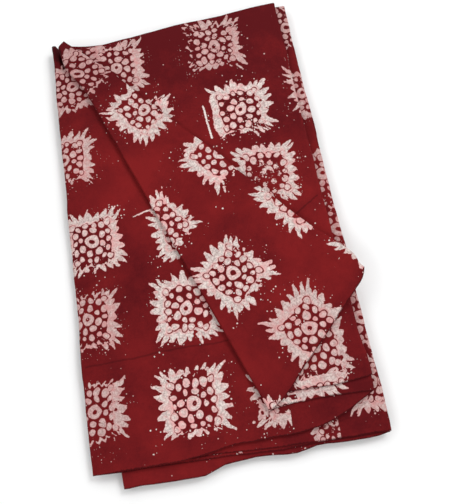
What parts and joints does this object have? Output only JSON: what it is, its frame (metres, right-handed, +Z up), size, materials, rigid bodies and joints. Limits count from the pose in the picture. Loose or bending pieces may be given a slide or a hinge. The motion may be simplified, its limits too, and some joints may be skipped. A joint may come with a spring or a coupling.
{
  "type": "folded adire crepe fabric",
  "caption": "Length of stamped wax-resist crepe cloth, folded in half and then back and forth into a flat pile, with one corner of the top panel turned over on the slant.",
  "frame": {"origin": "middle of the pile's base, on the surface it lies on", "axes": "+Y along the panels, towards the half fold; +X across the panels, towards the side the corner is turned over to; +Z up"},
  "size_m": [0.3464, 0.5902, 0.0266],
  "materials": {
    "dyed_crepe": "matt crepe dyed deep red, with a repeat of off-white wax-resist stamps"
  },
  "bodies": {
    "root": {"adire_cloth": "dyed_crepe"}
  },
  "joints": []
}
